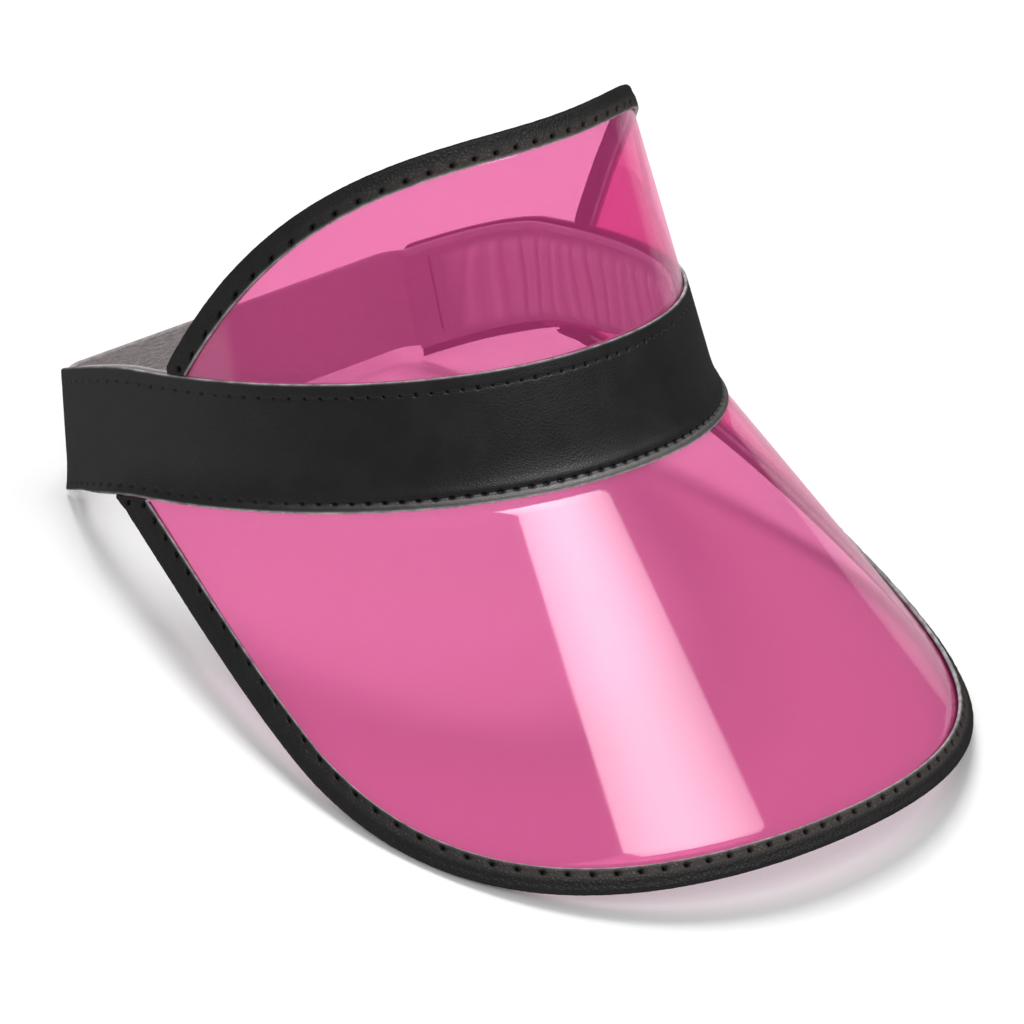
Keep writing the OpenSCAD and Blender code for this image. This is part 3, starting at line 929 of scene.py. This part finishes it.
def foam(name, colour):
    """Closed-cell foam with open cut cells on its skin."""
    material, tree = new_material(name)
    where = place_mm(tree)
    cells = add(tree, "ShaderNodeTexVoronoi", Vector=where, Scale=1 / 0.5).outputs["Distance"]
    shade = blend_colours(tree, cells, colour, scaled(colour, 0.4))
    bump = bumped(tree, cells, strength=0.7, depth_mm=0.2)
    shader = add(tree, "ShaderNodeBsdfPrincipled", Base_Color=shade, Roughness=0.95, Normal=bump)
    return finished(material, shader)


def floor_material():
    """Plain pale studio paper."""
    material, tree = new_material("studio_paper")
    tooth = noise_of(tree, place_mm(tree), size=0.8)
    shade = blend_colours(tree, tooth, (0.9, 0.9, 0.9, 1), (0.93, 0.93, 0.93, 1))
    shader = add(tree, "ShaderNodeBsdfPrincipled", Base_Color=shade, Roughness=0.9, Specular_IOR_Level=0.1)
    return finished(material, shader)


# ---- putting the pieces on the frame

brim_pvc = clear_sheet("brim_pvc", BRIM_SHADOW)
crown_pvc = clear_sheet("crown_pvc", CROWN_SHADOW)
band_vinyl = vinyl("band_vinyl", BLACK, grain_mm=0.8, roughness=0.36, shine=0.022, bump_mm=0.05)
bound_vinyl = vinyl("binding_vinyl", TOP_SHEEN_BLACK, grain_mm=1.0, roughness=0.5, shine=0.016, bump_mm=0.2)
lining = cloth("sweatband_weave", colour=(0.26, 0.23, 0.245, 1), strip_colour=(0.48, 0.45, 0.46, 1))
elastic = knit("elastic_knit", colour=(0.255, 0.225, 0.225, 1))
black_thread = thread("black_sewing_thread", colour=(0.012, 0.012, 0.012, 1))
padding = foam("padding_foam", colour=(0.05, 0.05, 0.055, 1))


def place_piece(piece, node, material):
    """Dresses a finished piece, puts it on the visor's body and lets it stand for its CAD node."""
    piece.data.materials.append(material)
    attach(piece, "visor")
    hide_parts(node)


place_piece(brim_sheet(), "brim_panel", brim_pvc)
place_piece(crown_sheet(), "crown_panel", crown_pvc)
place_piece(headband_cover(), "headband_cover", band_vinyl)
place_piece(headband_foam(), "headband_foam", padding)
place_piece(sweatband(), "sweatband", lining)
place_piece(brim_binding(), "brim_binding", bound_vinyl)
place_piece(crown_binding(), "crown_binding", bound_vinyl)
for make_row in (band_top_stitches, band_bottom_stitches, brim_binding_stitches, crown_binding_stitches):
    place_piece(make_row(), make_row.__name__, black_thread)
for side, end in ((-1, "right"), (1, "left")):
    row = strap_stitches(side, "strap_stitch_threads_" + end)
    place_piece(row, "strap_stitches_" + end, black_thread)


def place_strap():
    """Dresses the strap, bakes its place into its points and lets it stand for its CAD node."""
    strap, straight_x = elastic_strap()
    strap.data.materials.append(elastic)
    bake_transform(strap)
    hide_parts("elastic_strap")


place_strap()


# ---- studio: floor, lights and camera

# Azimuths run from the front towards the wearer's left. Angles are in degrees and lengths in metres.

KEY_AZIMUTH = 172
KEY_ELEVATION = 60
KEY_DISTANCE = 3
KEY_SIZE = 1.2
KEY_RADIANCE = 12
STRIP_AZIMUTH = 46
STRIP_ELEVATION = 65
STRIP_DISTANCE = 2.9
STRIP_WIDTH = 1.45
STRIP_LENGTH = 1.8
STRIP_RADIANCE = 10
STRIP_CREST = 0.42                    # place across the strip that stays brightest
STRIP_RIM = 0.4                       # strength left at its long sides
STRIP_BELL = 1.6                      # how its strength falls from the crest to them
FILL_AZIMUTH = -75
FILL_ELEVATION = 40
FILL_RADIANCE = 5
SKY = 0.55
MIRRORED_SKY = 0.25                   # what mirror reflections see of the sky
CAMERA_AZIMUTH = -49.286
CAMERA_ELEVATION = 16.092
CAMERA_ROLL = -2.816
CAMERA_DISTANCE = 2.0689
LENS_MM = 302.5
SENSOR_MM = 36
LENS_SHIFT = (0.1454, -0.1142)
FLOOR_HALF = 12


def direction_of(azimuth, elevation):
    a, e = math.radians(azimuth), math.radians(elevation)
    return Vector((math.sin(a) * math.cos(e), -math.cos(a) * math.cos(e), math.sin(e)))


ACROSS_STRIP = direction_of(66, 51) - direction_of(20, 75)    # from one of its long sides to the other


def add_floor():
    corners = [(x * FLOOR_HALF, y * FLOOR_HALF, 0) for x, y in ((-1, -1), (1, -1), (1, 1), (-1, 1))]
    mesh = bpy.data.meshes.new("floor")
    mesh.from_pydata(corners, [], [(0, 1, 2, 3)])
    floor = bpy.data.objects.new("floor", mesh)
    mesh.materials.append(floor_material())
    bpy.context.scene.collection.objects.link(floor)


def add_softbox(name, azimuth, elevation, distance, width, length, radiance):
    """A rectangular light facing the object, turned so that its width lies across the strip's highlight."""
    lamp = bpy.data.lights.new(name, "AREA")
    lamp.shape = "RECTANGLE"
    lamp.size, lamp.size_y = width, length
    lamp.energy = radiance * width * length * math.pi
    box = bpy.data.objects.new(name, lamp)
    back = direction_of(azimuth, elevation)
    side = ACROSS_STRIP - back * ACROSS_STRIP.dot(back)
    side.normalize()
    turn = Matrix((side, back.cross(side), back)).transposed().to_4x4()
    box.matrix_world = Matrix.Translation(back * distance) @ turn
    bpy.context.scene.collection.objects.link(box)
    return box


def fade_light(lamp):
    """Dims the strip towards its long sides. It also grows brighter along its length, from 0.8 to 1.5."""
    lamp.use_nodes = True
    tree = lamp.node_tree
    place = add(tree, "ShaderNodeNewGeometry").outputs["Parametric"]
    parts = add(tree, "ShaderNodeSeparateXYZ", Vector=place).outputs
    half = max(STRIP_CREST, 1 - STRIP_CREST)
    offset = maths(tree, "DIVIDE", maths(tree, "SUBTRACT", parts[0], STRIP_CREST), half)
    fall = maths(tree, "POWER", maths(tree, "ABSOLUTE", offset), STRIP_BELL)
    bell = maths(tree, "SUBTRACT", 1.0, fall)
    strength = maths(tree, "MULTIPLY_ADD", bell, 1 - STRIP_RIM, STRIP_RIM)
    strength = maths(tree, "MULTIPLY", strength, maths(tree, "MULTIPLY_ADD", parts[1], 0.7, 0.8))
    tree.links.new(strength, tree.nodes["Emission"].inputs["Strength"])


def add_world():
    world = bpy.data.worlds.new("studio")
    world.use_nodes = True
    tree = world.node_tree
    mirrored = add(tree, "ShaderNodeLightPath").outputs["Is Glossy Ray"]
    strength = add(tree, "ShaderNodeMix", _0=mirrored, _2=SKY, _3=MIRRORED_SKY).outputs[0]
    background = tree.nodes["Background"]
    background.inputs["Color"].default_value = (1, 1, 1, 1)
    tree.links.new(strength, background.inputs["Strength"])
    bpy.context.scene.world = world


def add_camera():
    """The camera's direction and roll are given in the band's frame."""
    back = np.array(direction_of(CAMERA_AZIMUTH, CAMERA_ELEVATION))
    azimuth, roll = math.radians(CAMERA_AZIMUTH), math.radians(CAMERA_ROLL)
    level = np.array([math.cos(azimuth), math.sin(azimuth), 0])
    right = math.cos(roll) * level + math.sin(roll) * np.cross(back, level)
    axes = np.array([right, np.cross(back, right), back]) @ BAND_AXES
    lens = bpy.data.cameras.new("camera")
    lens.lens = LENS_MM
    lens.sensor_width = SENSOR_MM
    lens.shift_x, lens.shift_y = LENS_SHIFT
    lens.clip_end = 50
    camera = bpy.data.objects.new("camera", lens)
    turn = Matrix(axes.tolist()).transposed().to_4x4()
    camera.matrix_world = Matrix.Translation(BAND_ORIGIN + CAMERA_DISTANCE * axes[2]) @ turn
    bpy.context.scene.collection.objects.link(camera)
    bpy.context.scene.camera = camera


add_floor()
add_world()
key = add_softbox("key", KEY_AZIMUTH, KEY_ELEVATION, KEY_DISTANCE, KEY_SIZE, KEY_SIZE, KEY_RADIANCE)
key.visible_glossy = False
strip = add_softbox("strip", STRIP_AZIMUTH, STRIP_ELEVATION, STRIP_DISTANCE, STRIP_WIDTH, STRIP_LENGTH,
                    STRIP_RADIANCE)
strip.visible_diffuse = False
fade_light(strip.data)
fill = add_softbox("fill", FILL_AZIMUTH, FILL_ELEVATION, KEY_DISTANCE, KEY_SIZE, KEY_SIZE, FILL_RADIANCE)
fill.visible_glossy = False
add_camera()
bpy.context.scene.view_settings.view_transform = "Standard"
